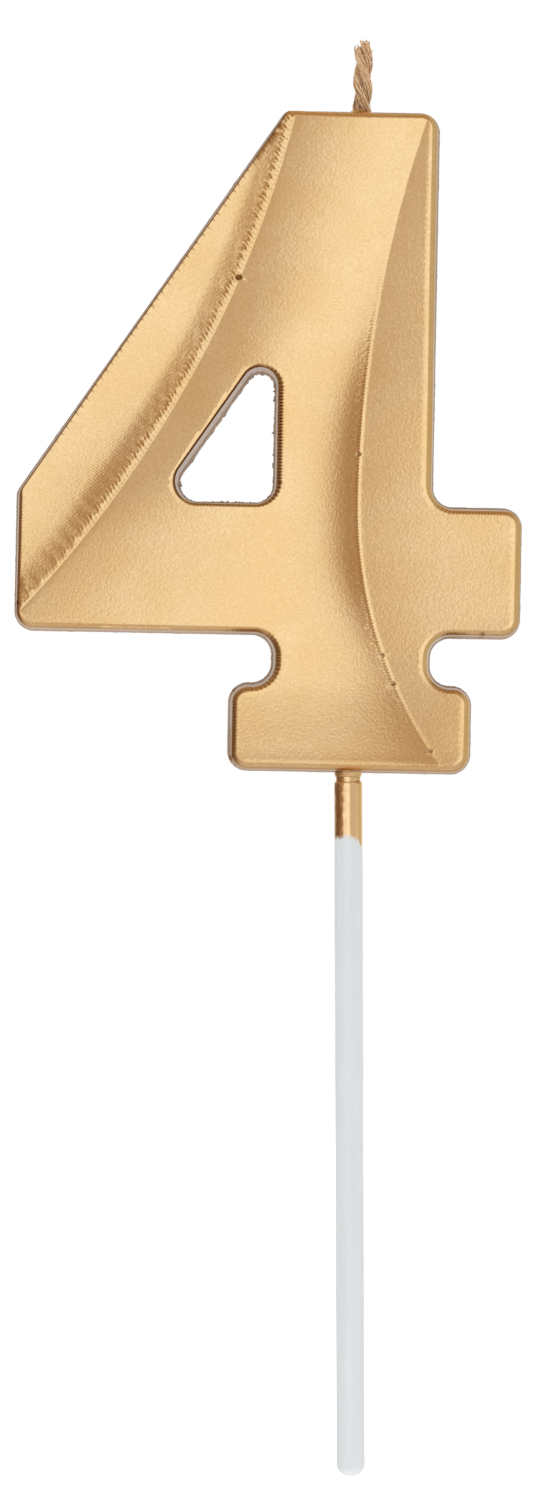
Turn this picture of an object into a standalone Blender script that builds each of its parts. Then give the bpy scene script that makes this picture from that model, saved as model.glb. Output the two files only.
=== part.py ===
"""Number birthday candle: a cast wax figure four on a plastic cake pick, with a twisted wick.

Metres, +Z up, the front faces -Y. The origin is on the pick's axis at the underside of the wax,
where the candle meets the cake. Both faces carry the same relief: two sharp ridges with a hollowed
flute on each side of them. The mould parts along Y = 0.
"""

import math

import bmesh
import bpy
import numpy as np
from mathutils import Matrix, Vector
from mathutils.geometry import delaunay_2d_cdt

MM = 0.001

# Outline of the figure at the parting line, symmetrical about the pick's axis where it can be.
HEIGHT = 70.0 * MM
STEM_HALF = 8.4 * MM
BASE_HALF = 12.87 * MM
BASE_TOP = 9.35 * MM
ARM_BOTTOM = 14.4 * MM
ARM_TOP = 28.3 * MM
ARM_END = -35.7 * MM
TAB_END = 17.88 * MM
TOP_LEFT = -7.96 * MM
DIAGONAL_RUN = 0.6786  # sideways run of the diagonal per unit of height
CORNER_R = 2.1 * MM

# The window between the diagonal, the stem and the arm.
BAR_WIDTH = 13.3 * MM  # thickness of the diagonal bar, measured across it
WINDOW_RIGHT = -8.55 * MM
WINDOW_BOTTOM = 28.4 * MM
WINDOW_APEX_R = 1.5 * MM
WINDOW_CORNER_R = 1.9 * MM

# Edge profile, from the parting line out to the face.
LAND_HALF = 0.6 * MM  # half the thickness of the straight land along the parting line
LAND_STEP = 0.15 * MM  # how far the land stands proud of the walls
DRAFT_IN = 0.35 * MM  # how far a wall leans in by the bevel
BEVEL_IN = 0.65 * MM
BEVEL_DEPTH = 0.65 * MM
FACE_IN = LAND_STEP + DRAFT_IN + BEVEL_IN

# Relief of one face: half thicknesses, and how far each ridge rises over the flute between them.
VALLEY_HALF = 3.2 * MM
VALLEY_DIP = 0.5 * MM  # how much lower the flute lies in the base
BASE_DROP = 1.35 * MM  # how far the face rolls down to the base's lower edge
BASE_ROLL = 4.0 * MM
LONG_RISE = 1.4 * MM
LONG_FADE = 6.3 * MM
LONG_SLOPE = 0.35  # slope of the long ridge's left side at its crest
STEM_RISE = 0.68 * MM
STEM_SWELL = 1.92 * MM  # how much higher the stem ridge stands at its waist than at its top
STEM_FADE = 4.7 * MM
RIGHT_SLOPE = 0.16  # slope of the stem ridge's right side at its crest
RIGHT_FADE = 9.5 * MM
LONG_RIDGE_CENTRE = (-120.6 * MM, 95.7 * MM)
LONG_RIDGE_R = 116.75 * MM
STEM_RIDGE_WAIST = (0.43 * MM, 28.5 * MM)
STEM_RIDGE_UPPER_R = 129.4 * MM
STEM_RIDGE_LOWER_R = 45.6 * MM

# Mesh spacing.
EDGE_STEP = 1.9 * MM
FACE_STEP = 1.7 * MM
RIDGE_STEP = 2.0 * MM
ARC_STEPS = 5
SLIVER = (0.01 * MM) ** 2
ROUND_STEPS = 20

# The wick: three plies laid in an S twist down the stem.
PLIES = 3
PLY_R = 0.4 * MM
PLY_ORBIT = 0.64 * MM
WICK_PITCH = 9.0 * MM
WICK_TOP = 77.8 * MM
WICK_BOTTOM = 14.6 * MM
WICK_STEPS_PER_TURN = 12

# The pick and the ribbed anchor that the wax is cast round.
PICK_LEAN = math.radians(1.3)  # the pick's tip leans towards +X
PICK_R = 1.49 * MM
PICK_LENGTH = 74.6 * MM
TIP_LENGTH = 1.24 * MM
COLLAR_R = 1.55 * MM
COLLAR_TOP = 0.3 * MM  # the collar sits in a shallow mouth in the underside
NECK_R = 1.2 * MM
COLLAR_BOTTOM = -0.85 * MM
SHOULDER_BOTTOM = -1.2 * MM
ANCHOR_TOP = 12.0 * MM
ANCHOR_R = 0.95 * MM
RIB_R = 1.4 * MM
RIBS = 4
RIB_PITCH = 2.6 * MM
RIB_SLOPE = 0.7 * MM
RIB_FLAT = 0.5 * MM

GAP = 0.3 * MM


def clear_scene():
    for ob in list(bpy.data.objects):
        bpy.data.objects.remove(ob, do_unlink=True)


def material(name, color, roughness, metallic=0.0):
    mat = bpy.data.materials.new(name)
    mat.use_nodes = True
    shader = mat.node_tree.nodes["Principled BSDF"]
    shader.inputs["Base Color"].default_value = (*color, 1.0)
    shader.inputs["Roughness"].default_value = roughness
    shader.inputs["Metallic"].default_value = metallic
    mat.diffuse_color = (*color, 1.0)
    return mat


def add_object(name, mesh, mat):
    ob = bpy.data.objects.new(name, mesh)
    bpy.context.scene.collection.objects.link(ob)
    if mat:
        mesh.materials.append(mat)
    return ob


# --- The outline -----------------------------------------------------------------------------


def figure_corners():
    """The figure's corners as (x, z), anticlockwise from the base's lower right."""
    arm_corner_z = HEIGHT + (ARM_END - TOP_LEFT) / DIAGONAL_RUN
    return [
        (BASE_HALF, 0.0),
        (BASE_HALF, BASE_TOP),
        (STEM_HALF, BASE_TOP),
        (STEM_HALF, ARM_BOTTOM),
        (TAB_END, ARM_BOTTOM),
        (TAB_END, ARM_TOP),
        (STEM_HALF, ARM_TOP),
        (STEM_HALF, HEIGHT),
        (TOP_LEFT, HEIGHT),
        (ARM_END, arm_corner_z),
        (ARM_END, ARM_BOTTOM),
        (-STEM_HALF, ARM_BOTTOM),
        (-STEM_HALF, BASE_TOP),
        (-BASE_HALF, BASE_TOP),
        (-BASE_HALF, 0.0),
    ]


def window_corners():
    """The window's three corners as (x, z), clockwise, so that its normals point out of the wax."""
    run = DIAGONAL_RUN
    shift = BAR_WIDTH * math.hypot(1.0, run)  # the bar's thickness measured along X
    left_at_top = TOP_LEFT + shift
    apex_z = HEIGHT - (left_at_top - WINDOW_RIGHT) / run
    bottom_left = left_at_top - (HEIGHT - WINDOW_BOTTOM) * run
    return [(WINDOW_RIGHT, WINDOW_BOTTOM), (bottom_left, WINDOW_BOTTOM), (WINDOW_RIGHT, apex_z)]


def rounded_loop(corners, radii):
    """Walks a closed outline. Returns (point, normal) pairs, with the normal out of the wax."""
    corners = [Vector(c) for c in corners]
    loop = []
    for i, corner in enumerate(corners):
        before = (corner - corners[i - 1]).normalized()
        after = (corners[(i + 1) % len(corners)] - corner).normalized()
        turn = before.angle_signed(after) * -1.0
        side = math.copysign(1.0, turn)
        tangent = radii[i] * math.tan(abs(turn) / 2.0)
        start = corner - before * tangent
        inward = Vector((-before.y, before.x)) * side
        centre = start + inward * radii[i]
        for k in range(ARC_STEPS + 1):
            spoke = -inward
            spoke.rotate(Matrix.Rotation(turn * k / ARC_STEPS, 2))
            loop.append((centre + spoke * radii[i], spoke * side))
        following = corners[(i + 1) % len(corners)]
        next_turn = after.angle((corners[(i + 2) % len(corners)] - following).normalized())
        next_tangent = radii[(i + 1) % len(corners)] * math.tan(next_turn / 2.0)
        arc_end = corner + after * tangent
        length = (following - after * next_tangent - arc_end).length
        pieces = max(1, round(length / EDGE_STEP))
        normal = Vector((after.y, -after.x))
        for k in range(1, pieces):
            loop.append((arc_end + after * (length * k / pieces), normal))
    return loop


def inset(loop, distance):
    return [point - normal * distance for point, normal in loop]


# --- The relief ------------------------------------------------------------------------------


def smooth(z, low, high):
    """0 at the first height in millimetres and 1 at the second, with a smooth step between."""
    t = np.clip((z / MM - low) / (high - low), 0.0, 1.0)
    return t * t * (3.0 - 2.0 * t)


def long_ridge(x, z):
    """Signed distance to the ridge from the top left to the arm's end, positive to its right.

    The ridge's nearest point comes with it.
    """
    centre_x, centre_z = LONG_RIDGE_CENTRE
    away = np.hypot(x - centre_x, z - centre_z)
    share = LONG_RIDGE_R / away
    return away - LONG_RIDGE_R, centre_x + (x - centre_x) * share, centre_z + (z - centre_z) * share


def stem_ridge(x, z):
    """The same for the ridge down the stem. Two arcs meet at its waist."""
    waist_x, waist_z = STEM_RIDGE_WAIST
    radius = np.where(z > waist_z, STEM_RIDGE_UPPER_R, STEM_RIDGE_LOWER_R)
    centre_x = waist_x + radius
    away = np.hypot(x - centre_x, z - waist_z)
    share = radius / away
    return radius - away, centre_x + (x - centre_x) * share, waist_z + (z - waist_z) * share


def fall(distance, fade):
    """1 on a crest, falling away with distance from it."""
    return np.exp(-np.maximum(distance, 0.0) / fade)


def flute_half(x, z):
    """Half thickness between the two ridges."""
    long_rise = LONG_RISE + MM * (
        0.65 * smooth(z, 58.0, 46.0) + 0.3 * smooth(z, 48.0, 38.0) - 0.35 * smooth(z, 36.0, 24.0)
    )
    long_fade = LONG_FADE + 4.2 * MM * smooth(z, 34.0, 22.0)
    stem_rise = STEM_RISE + STEM_SWELL * smooth(z, 56.0, 34.0) - 0.3 * MM * smooth(z, 30.0, 7.0)
    stem_fade = STEM_FADE + 2.9 * MM * smooth(z, 22.0, 8.0)
    valley = VALLEY_HALF - VALLEY_DIP * smooth(z, 13.0, 2.0)
    long_part = long_rise * fall(long_ridge(x, z)[0], long_fade)
    return valley + long_part + stem_rise * fall(-stem_ridge(x, z)[0], stem_fade)


def half_thickness(x, z):
    long_d, long_x, long_z = long_ridge(x, z)
    stem_d, stem_x, stem_z = stem_ridge(x, z)
    left_fade = LONG_FADE - 2.7 * MM * smooth(long_z, 24.0, 46.0)
    left = flute_half(long_x, long_z) - LONG_SLOPE * left_fade * (1.0 - fall(-long_d, left_fade))
    slope = RIGHT_SLOPE + 0.10 * smooth(z, 48.0, 68.0) - 0.03 * smooth(z, 34.0, 22.0)
    right = flute_half(stem_x, stem_z) - slope * RIGHT_FADE * (1.0 - fall(stem_d, RIGHT_FADE))
    half = np.where(long_d < 0.0, left, np.where(stem_d > 0.0, right, flute_half(x, z)))
    return half - BASE_DROP * np.exp(-z / BASE_ROLL) - 0.17 * MM * smooth(z, 9.5, 2.5)


def long_ridge_points():
    centre = Vector(LONG_RIDGE_CENTRE)
    count = 200
    return [
        centre + LONG_RIDGE_R * Vector((math.cos(a), math.sin(a)))
        for a in (math.radians(-50.0 + 40.0 * i / count) for i in range(count + 1))
    ]


def stem_ridge_points():
    waist = Vector(STEM_RIDGE_WAIST)
    points = []
    count = 200
    for i in range(count + 1):
        z = HEIGHT * i / count
        radius = STEM_RIDGE_UPPER_R if z > waist.y else STEM_RIDGE_LOWER_R
        points.append(Vector((waist.x + radius - math.sqrt(radius**2 - (z - waist.y) ** 2), z)))
    return points


# --- The face mesh ---------------------------------------------------------------------------


def inside(point, loop):
    """True where a point lies inside a closed loop of points."""
    x, z = point
    found = False
    for a, b in zip(loop, loop[1:] + loop[:1]):
        if (a.y > z) != (b.y > z) and x < a.x + (b.x - a.x) * (z - a.y) / (b.y - a.y):
            found = not found
    return found


def clearance(point, loops):
    """Shortest distance from a point to any edge of the closed loops."""
    p = np.array(point)
    best = math.inf
    for loop in loops:
        a = np.array(loop)
        ab = np.roll(a, -1, axis=0) - a
        t = np.clip(((p - a) * ab).sum(1) / (ab**2).sum(1), 0.0, 1.0)
        best = min(best, float(np.hypot(*(a + ab * t[:, None] - p).T).min()))
    return best


def in_wax(point, outer, window):
    return inside(point, outer) and not inside(point, window)


def thinned(points, step):
    kept = [points[0]]
    for point in points[1:]:
        if (point - kept[-1]).length >= step:
            kept.append(point)
    return kept


def ridge_chains(outer, window):
    """Each ridge as a chain of points that stops short of the face's edges."""
    margin = 0.35 * RIDGE_STEP
    chains = []
    for points in (long_ridge_points(), stem_ridge_points()):
        kept = [p for p in points if in_wax(p, outer, window) and clearance(p, (outer, window)) > margin]
        chains.append(thinned(kept, RIDGE_STEP))
    return chains


def field_points(outer, window, chains):
    """A staggered grid of points over the face, clear of its edges and of the ridges."""
    row_height = FACE_STEP * math.sqrt(0.75)
    rows = round(HEIGHT / row_height)
    columns = round((TAB_END - ARM_END) / FACE_STEP)
    ridges = [p for chain in chains for p in chain]
    found = []
    for row in range(1, rows):
        for column in range(columns + 1):
            x = ARM_END + (column + 0.5 * (row % 2)) * FACE_STEP
            p = Vector((x, row * row_height))
            if not in_wax(p, outer, window) or clearance(p, (outer, window)) < 0.55 * FACE_STEP:
                continue
            if min((p - q).length for q in ridges) > 0.75 * FACE_STEP:
                found.append(p)
    return found


def face_triangles(outer, window):
    """Triangulates the face. The first points are the two loops, in order."""
    chains = ridge_chains(outer, window)
    points = outer + window
    edges = []
    for first, count in ((0, len(outer)), (len(outer), len(window))):
        edges += [(first + i, first + (i + 1) % count) for i in range(count)]
    for chain in chains:
        first = len(points)
        points = points + chain
        edges += [(first + i, first + i + 1) for i in range(len(chain) - 1)]
    points = points + field_points(outer, window, chains)
    made = delaunay_2d_cdt(points, edges, [], 0, 1e-7, True)
    source = [ids[0] for ids in made[3]]
    triangles = []
    for face in made[2]:
        corners = [source[i] for i in face]
        a, b, c = (points[i] for i in corners)
        if abs((b - a).cross(c - a)) < SLIVER:
            continue  # three neighbours on one straight edge
        if in_wax((a + b + c) / 3.0, outer, window):
            triangles.append(corners)
    return points, triangles


def body_mesh():
    """The wax figure: two faces, their bevels and drafted walls, and the land between them."""
    loops = (
        rounded_loop(figure_corners(), [CORNER_R] * len(figure_corners())),
        rounded_loop(window_corners(), [WINDOW_CORNER_R, WINDOW_CORNER_R, WINDOW_APEX_R]),
    )
    outer, window = (inset(loop, FACE_IN) for loop in loops)
    points, triangles = face_triangles(outer, window)
    places = np.array(points)
    half = half_thickness(places[:, 0], places[:, 1])
    bm = bmesh.new()
    sides = []
    for facing in (-1.0, 1.0):
        verts = [bm.verts.new((p.x, facing * h, p.y)) for p, h in zip(points, half)]
        for triangle in triangles:
            bm.faces.new([verts[i] for i in triangle])
        sides.append(verts)
    first = 0
    for loop in loops:
        count = len(loop)
        span = slice(first, first + count)
        edge_half = half[span] - BEVEL_DEPTH
        wall_foot = inset(loop, LAND_STEP)
        wall_top = inset(loop, LAND_STEP + DRAFT_IN)
        land = inset(loop, 0.0)
        rings = [sides[0][span]]
        rings.append([bm.verts.new((p.x, -h, p.y)) for p, h in zip(wall_top, edge_half)])
        rings.append([bm.verts.new((p.x, -LAND_HALF, p.y)) for p in wall_foot])
        rings.append([bm.verts.new((p.x, -LAND_HALF, p.y)) for p in land])
        rings.append([bm.verts.new((p.x, LAND_HALF, p.y)) for p in land])
        rings.append([bm.verts.new((p.x, LAND_HALF, p.y)) for p in wall_foot])
        rings.append([bm.verts.new((p.x, h, p.y)) for p, h in zip(wall_top, edge_half)])
        rings.append(sides[1][span])
        for near, far in zip(rings, rings[1:]):
            for i in range(count):
                j = (i + 1) % count
                bm.faces.new((near[i], near[j], far[j], far[i]))
        first += count
    bmesh.ops.recalc_face_normals(bm, faces=bm.faces)
    mesh = bpy.data.meshes.new("number_body")
    bm.to_mesh(mesh)
    bm.free()
    return mesh


def cut(target, cutter):
    """Cuts one object from another and keeps the cutter as a wire guide."""
    cutter.hide_render = True
    cutter.display_type = "WIRE"
    modifier = target.modifiers.new("cut_" + cutter.name, "BOOLEAN")
    modifier.operation = "DIFFERENCE"
    modifier.solver = "EXACT"
    modifier.object = cutter


def number_body(mat, cutters):
    ob = add_object("number_body", body_mesh(), mat)
    for cutter in cutters:
        cut(ob, cutter)
    return ob


# --- Turned pieces ---------------------------------------------------------------------------


def turned_mesh(name, profile, steps=ROUND_STEPS):
    """Turns (radius, z) points, listed from top to bottom, about Z. Zero radii are the poles."""
    bm = bmesh.new()
    rings = []
    for radius, z in profile:
        if radius == 0.0:
            rings.append([bm.verts.new((0.0, 0.0, z))])
            continue
        angles = (2.0 * math.pi * k / steps for k in range(steps))
        rings.append([bm.verts.new((radius * math.cos(a), radius * math.sin(a), z)) for a in angles])
    for upper, lower in zip(rings, rings[1:]):
        for k in range(steps):
            j = (k + 1) % steps
            if len(upper) == 1:
                bm.faces.new((upper[0], lower[k], lower[j]))
            elif len(lower) == 1:
                bm.faces.new((upper[k], lower[0], upper[j]))
            else:
                bm.faces.new((upper[k], lower[k], lower[j], upper[j]))
    bmesh.ops.recalc_face_normals(bm, faces=bm.faces)
    mesh = bpy.data.meshes.new(name)
    bm.to_mesh(mesh)
    bm.free()
    mesh.shade_smooth()
    mesh.set_sharp_from_angle(angle=math.radians(35.0))
    return mesh


def anchor_profile(gap):
    """The ribbed anchor from its top down, each size grown by gap."""
    profile = [(0.0, ANCHOR_TOP + gap), (ANCHOR_R + gap, ANCHOR_TOP + gap)]
    for i in range(RIBS):
        rib_top = ANCHOR_TOP - RIB_PITCH * (i + 0.4)
        profile.append((ANCHOR_R + gap, rib_top))
        profile.append((RIB_R + gap, rib_top - RIB_SLOPE))
        profile.append((RIB_R + gap, rib_top - RIB_SLOPE - RIB_FLAT))
        profile.append((ANCHOR_R + gap, rib_top - 2.0 * RIB_SLOPE - RIB_FLAT))
    return profile


def pick_profile():
    """The whole pick: anchor, collar, waisted neck, stick and rounded point."""
    profile = anchor_profile(0.0)
    profile.append((ANCHOR_R, COLLAR_TOP))
    profile.append((COLLAR_R, COLLAR_TOP))
    profile.append((NECK_R, COLLAR_BOTTOM))
    profile.append((PICK_R, SHOULDER_BOTTOM))
    straight_end = TIP_LENGTH - PICK_LENGTH
    profile.append((PICK_R, straight_end))
    tip_steps = 5
    for i in range(1, tip_steps):
        angle = 0.5 * math.pi * i / tip_steps
        profile.append((PICK_R * math.cos(angle), straight_end - TIP_LENGTH * math.sin(angle)))
    profile.append((0.0, -PICK_LENGTH))
    return profile


def socket_profile():
    """The hollow that the anchor and collar leave in the wax, run on below the underside."""
    below = -2.0 * MM
    profile = anchor_profile(GAP)
    profile.append((ANCHOR_R + GAP, COLLAR_TOP + GAP))
    profile.append((COLLAR_R + GAP, COLLAR_TOP + GAP))
    profile.append((COLLAR_R + GAP, below))
    profile.append((0.0, below))
    return profile


def leaning(ob):
    """Tips a piece about the origin so that its lower end moves towards +X."""
    ob.rotation_euler = (0.0, -PICK_LEAN, 0.0)
    return ob


def pick(mat):
    return leaning(add_object("pick", turned_mesh("pick", pick_profile()), mat))


def pick_socket():
    return leaning(add_object("socket_cutter", turned_mesh("socket_cutter", socket_profile()), None))


def wick_bore():
    radius = PLY_ORBIT + PLY_R + GAP
    top = HEIGHT + 3.0 * MM
    bottom = WICK_BOTTOM - GAP
    profile = [(0.0, top), (radius, top), (radius, bottom), (0.0, bottom)]
    return add_object("bore_cutter", turned_mesh("bore_cutter", profile, 16), None)


def wick_ply(index, mat):
    """One ply as a tube wound round the wick's axis, with flat ends."""
    turns = (WICK_TOP - WICK_BOTTOM) / WICK_PITCH
    count = round(turns * WICK_STEPS_PER_TURN)
    curve = bpy.data.curves.new("ply_path", "CURVE")
    curve.dimensions = "3D"
    curve.bevel_depth = PLY_R
    curve.bevel_resolution = 1
    curve.use_fill_caps = True
    spline = curve.splines.new("POLY")
    spline.points.add(count)
    for k in range(count + 1):
        share = k / count
        # The angle falls as the ply climbs, which is the S twist seen from outside.
        angle = 2.0 * math.pi * (index / PLIES - turns * share)
        z = WICK_BOTTOM + (WICK_TOP - WICK_BOTTOM) * share
        spline.points[k].co = (PLY_ORBIT * math.cos(angle), PLY_ORBIT * math.sin(angle), z, 1.0)
    ob = bpy.data.objects.new(f"wick_ply_{index + 1}", curve)
    bpy.context.scene.collection.objects.link(ob)
    curve.materials.append(mat)
    return ob


def main():
    clear_scene()
    gold = material("gold_paint", (0.74, 0.47, 0.21), 0.42, 0.7)
    cord = material("wick_cotton", (0.62, 0.37, 0.17), 0.75)
    plastic = material("white_plastic", (0.78, 0.80, 0.80), 0.35)
    number_body(gold, [wick_bore(), pick_socket()])
    for index in range(PLIES):
        wick_ply(index, cord)
    pick(plastic)


main()
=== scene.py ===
"""Looks of a number birthday candle: a gold wax figure four, its twisted wick and its white pick.

Metres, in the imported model's frame: +Z up, the front faces -Y, and the origin is on the pick's
axis at the underside of the wax.
"""

import math

import bmesh
import bpy
import numpy as np
from mathutils import Matrix, Vector
from mathutils.geometry import delaunay_2d_cdt


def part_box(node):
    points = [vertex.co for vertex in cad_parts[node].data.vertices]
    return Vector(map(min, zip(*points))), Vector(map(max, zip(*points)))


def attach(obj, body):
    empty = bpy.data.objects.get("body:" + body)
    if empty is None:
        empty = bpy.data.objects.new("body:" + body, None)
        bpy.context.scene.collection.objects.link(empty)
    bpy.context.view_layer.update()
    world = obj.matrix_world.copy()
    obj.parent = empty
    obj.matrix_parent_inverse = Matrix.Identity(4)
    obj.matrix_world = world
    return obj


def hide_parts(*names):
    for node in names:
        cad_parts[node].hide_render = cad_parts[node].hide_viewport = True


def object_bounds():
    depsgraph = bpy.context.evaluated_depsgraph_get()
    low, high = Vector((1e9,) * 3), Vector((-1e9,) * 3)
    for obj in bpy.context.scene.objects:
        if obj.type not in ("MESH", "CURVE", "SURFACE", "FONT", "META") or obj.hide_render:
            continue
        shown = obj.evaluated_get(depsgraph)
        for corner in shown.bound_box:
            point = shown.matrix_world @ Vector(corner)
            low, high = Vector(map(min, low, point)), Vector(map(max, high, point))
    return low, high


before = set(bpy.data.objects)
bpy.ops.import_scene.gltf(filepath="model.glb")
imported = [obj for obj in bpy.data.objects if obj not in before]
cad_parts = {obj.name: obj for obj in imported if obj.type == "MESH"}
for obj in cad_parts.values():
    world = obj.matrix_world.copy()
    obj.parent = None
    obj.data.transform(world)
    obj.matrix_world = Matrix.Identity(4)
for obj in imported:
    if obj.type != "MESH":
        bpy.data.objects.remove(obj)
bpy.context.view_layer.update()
FIGURE_LOW, FIGURE_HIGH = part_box("number_body")
PICK_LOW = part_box("pick")[0]
WICK_LOW, WICK_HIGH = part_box("wick_ply_1")

MM = 0.001
SEED = 4

# Outline of the figure in millimetres, at the parting line.
HEIGHT = FIGURE_HIGH.z / MM
ARM_END = FIGURE_LOW.x / MM
TAB_END = FIGURE_HIGH.x / MM
STEM_HALF = 8.4
BASE_HALF = 12.87
BASE_TOP = 9.35
ARM_BOTTOM = 14.4
ARM_TOP = 28.3
TOP_LEFT = -7.96
DIAGONAL_RUN = 0.6786
CORNER_R = 2.1
TOP_LEFT_R = 1.1
TOP_LEFT_CORNER = ((TOP_LEFT, HEIGHT), (0.30, 0.0, 0.42, 0.25))  # its place and the next edge's style
BAR_WIDTH = 13.3
WINDOW_RIGHT = -8.55
WINDOW_BOTTOM = 28.4
WINDOW_RADII = (1.9, 1.9, 1.5)

# Mesh spacing in millimetres, and how far each row of points lies from a ridge.
EDGE_STEP = 0.33
COMB_PITCH = 0.33
FIELD_STEP = 0.40
LONG_ROWS = (-0.95, -0.82, -0.70, -0.58, -0.46, -0.34, -0.22, -0.10, 0.0, 0.10, 0.22, 0.38)
STEM_ROWS = (-0.64, -0.52, -0.40, -0.29, -0.19, -0.09, 0.0, 0.09, 0.2, 0.36)
SLIVER = 1e-5

# Relief of a face in millimetres.
VALLEY = 3.2
LONG_RIDGE_CENTRE = (-120.6, 95.7)
LONG_RIDGE_R = 116.75
STEM_WAIST = (0.43, 28.5)
STEM_UPPER_R = 129.4
STEM_LOWER_R = 45.6
BASE_DROP, BASE_ROLL = 1.35, 4.0  # how the face rolls down to the base's lower edge
LONG_FADE = 6.3  # how fast the long ridge's flanks fall away
RIGHT_FADE = 9.5  # and the right side of the stem ridge
CREST_WIDTH = 0.32  # the narrow flat along the stem ridge
CREST_TILT = 0.06

# Tool marks in millimetres.
BEAD_RISE, BEAD_WIDTH = 0.05, 0.17  # the small bead along the long ridge's crest
RIB_PITCH = 0.5
RIB_SLANT = 0.445  # how far a rib leans for each millimetre it runs back from the crest
RIB_LENGTH = 0.62
RIB_LIFT = 0.32
TICK_PITCH = 0.34
NICKS = (33.4, 12.4, 9.4, 2.4)  # heights of the nicks in the stem ridge, darkened with painted shade
PIT = (-12.55, 51.8)  # the round pit on the long ridge


# --- Small helpers ---------------------------------------------------------------------------


def smooth(value, low, high):
    """0 below low, 1 above high, with a smooth step between. Works for low above high too."""
    t = np.clip((value - low) / (high - low), 0.0, 1.0)
    return t * t * (3.0 - 2.0 * t)


def add_piece(name, mesh, slot, *nodes):
    ob = bpy.data.objects.new(name, mesh)
    bpy.context.scene.collection.objects.link(ob)
    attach(ob, "root")
    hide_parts(*nodes)
    return ob


def store(mesh, name, values):
    attribute = mesh.attributes.new(name, "FLOAT", "POINT")
    attribute.data.foreach_set("value", np.asarray(values, np.float32))


# --- The outline -----------------------------------------------------------------------------


def figure_corners():
    """Corners as (x, z), anticlockwise from the base's lower right, each with its next edge's style.

    A style is the bevel's relative width, how strongly the cutter's comb shows on the edge,
    the wall's lean and how much painted shade darkens the foot of the bevel (the whole of a narrow
    bevel).
    """
    arm_corner_z = HEIGHT + (ARM_END - TOP_LEFT) / DIAGONAL_RUN
    return [
        ((BASE_HALF, 0.0), (1.0, 0.0, 0.28, 0.0)),
        ((BASE_HALF, BASE_TOP), (0.75, 0.7, 0.42, 0.0)),
        ((STEM_HALF, BASE_TOP), (0.8, 0.0, 0.40, 0.0)),
        ((STEM_HALF, ARM_BOTTOM), (0.8, 0.0, 0.28, 0.5)),
        ((TAB_END, ARM_BOTTOM), (1.05, 0.0, 0.26, 0.25)),
        ((TAB_END, ARM_TOP), (0.7, 0.8, 0.50, 0.0)),
        ((STEM_HALF, ARM_TOP), (1.0, 0.0, 0.32, 0.2)),
        ((STEM_HALF, HEIGHT), (0.9, 0.15, 0.45, 0.0)),
        TOP_LEFT_CORNER,
        ((ARM_END, arm_corner_z), (0.6, 0.4, 0.42, 0.3)),
        ((ARM_END, ARM_BOTTOM), (0.85, 0.0, 0.22, 0.3)),
        ((-STEM_HALF, ARM_BOTTOM), (0.95, 1.0, 0.45, 0.2)),
        ((-STEM_HALF, BASE_TOP), (0.8, 0.8, 0.50, 0.0)),
        ((-BASE_HALF, BASE_TOP), (0.8, 1.0, 0.45, 0.2)),
        ((-BASE_HALF, 0.0), (1.0, 0.0, 0.24, 0.35)),
    ]


def window_corners():
    run = DIAGONAL_RUN
    left_at_top = TOP_LEFT + BAR_WIDTH * math.hypot(1.0, run)
    apex_z = HEIGHT - (left_at_top - WINDOW_RIGHT) / run
    bottom_left = left_at_top - (HEIGHT - WINDOW_BOTTOM) * run
    return [
        ((WINDOW_RIGHT, WINDOW_BOTTOM), (0.6, 0.4, 0.30, 0.1)),
        ((bottom_left, WINDOW_BOTTOM), (0.30, 0.0, 0.46, 1.0)),
        ((WINDOW_RIGHT, apex_z), (0.8, 1.6, 0.34, 0.1)),
    ]


class Loop:
    """A closed outline as arrays: points, outward normals, edge styles and comb teeth."""

    def __init__(self, corners, radii):
        rows = []
        count = len(corners)
        places = [Vector(place) for place, style in corners]
        styles = [style for place, style in corners]
        turns = []
        for i, place in enumerate(places):
            before = (place - places[i - 1]).normalized()
            after = (places[(i + 1) % count] - place).normalized()
            turns.append(-before.angle_signed(after))
        for i, place in enumerate(places):
            before = (place - places[i - 1]).normalized()
            after = (places[(i + 1) % count] - place).normalized()
            side = math.copysign(1.0, turns[i])
            tangent = radii[i] * math.tan(abs(turns[i]) / 2.0)
            inward = Vector((-before.y, before.x)) * side
            centre = place - before * tangent + inward * radii[i]
            style_in, style_out = np.array(styles[i - 1]), np.array(styles[i])
            step = COMB_PITCH / 3.0 if max(style_in[1], style_out[1]) > 0.0 else EDGE_STEP
            steps = max(6, round(radii[i] * abs(turns[i]) / step))
            for k in range(steps + 1):
                t = k / steps
                spoke = -inward
                spoke.rotate(Matrix.Rotation(turns[i] * t, 2))
                style = style_in + (style_out - style_in) * t
                rows.append((*(centre + spoke * radii[i]), *(spoke * side), *style))
            j = (i + 1) % count
            ahead = radii[j] * math.tan(abs(turns[j]) / 2.0)
            start = place + after * tangent
            length = (places[j] - after * ahead - start).length
            step = COMB_PITCH / 3.0 if style_out[1] > 0.0 else EDGE_STEP
            pieces = max(1, round(length / step))
            for k in range(1, pieces):
                point = start + after * (length * k / pieces)
                rows.append((*point, after.y, -after.x, *style_out))
        table = np.array(rows)
        self.points, self.normals = table[:, 0:2], table[:, 2:4]
        self.bevel, self.comb, self.wall, self.bevel_shade = table[:, 4:8].T
        self.tooth = self.comb * (np.arange(len(table)) % 3 == 0)

    def inset(self, distance):
        return self.points - self.normals * np.reshape(distance, (-1, 1))


# --- The relief ------------------------------------------------------------------------------


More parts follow.
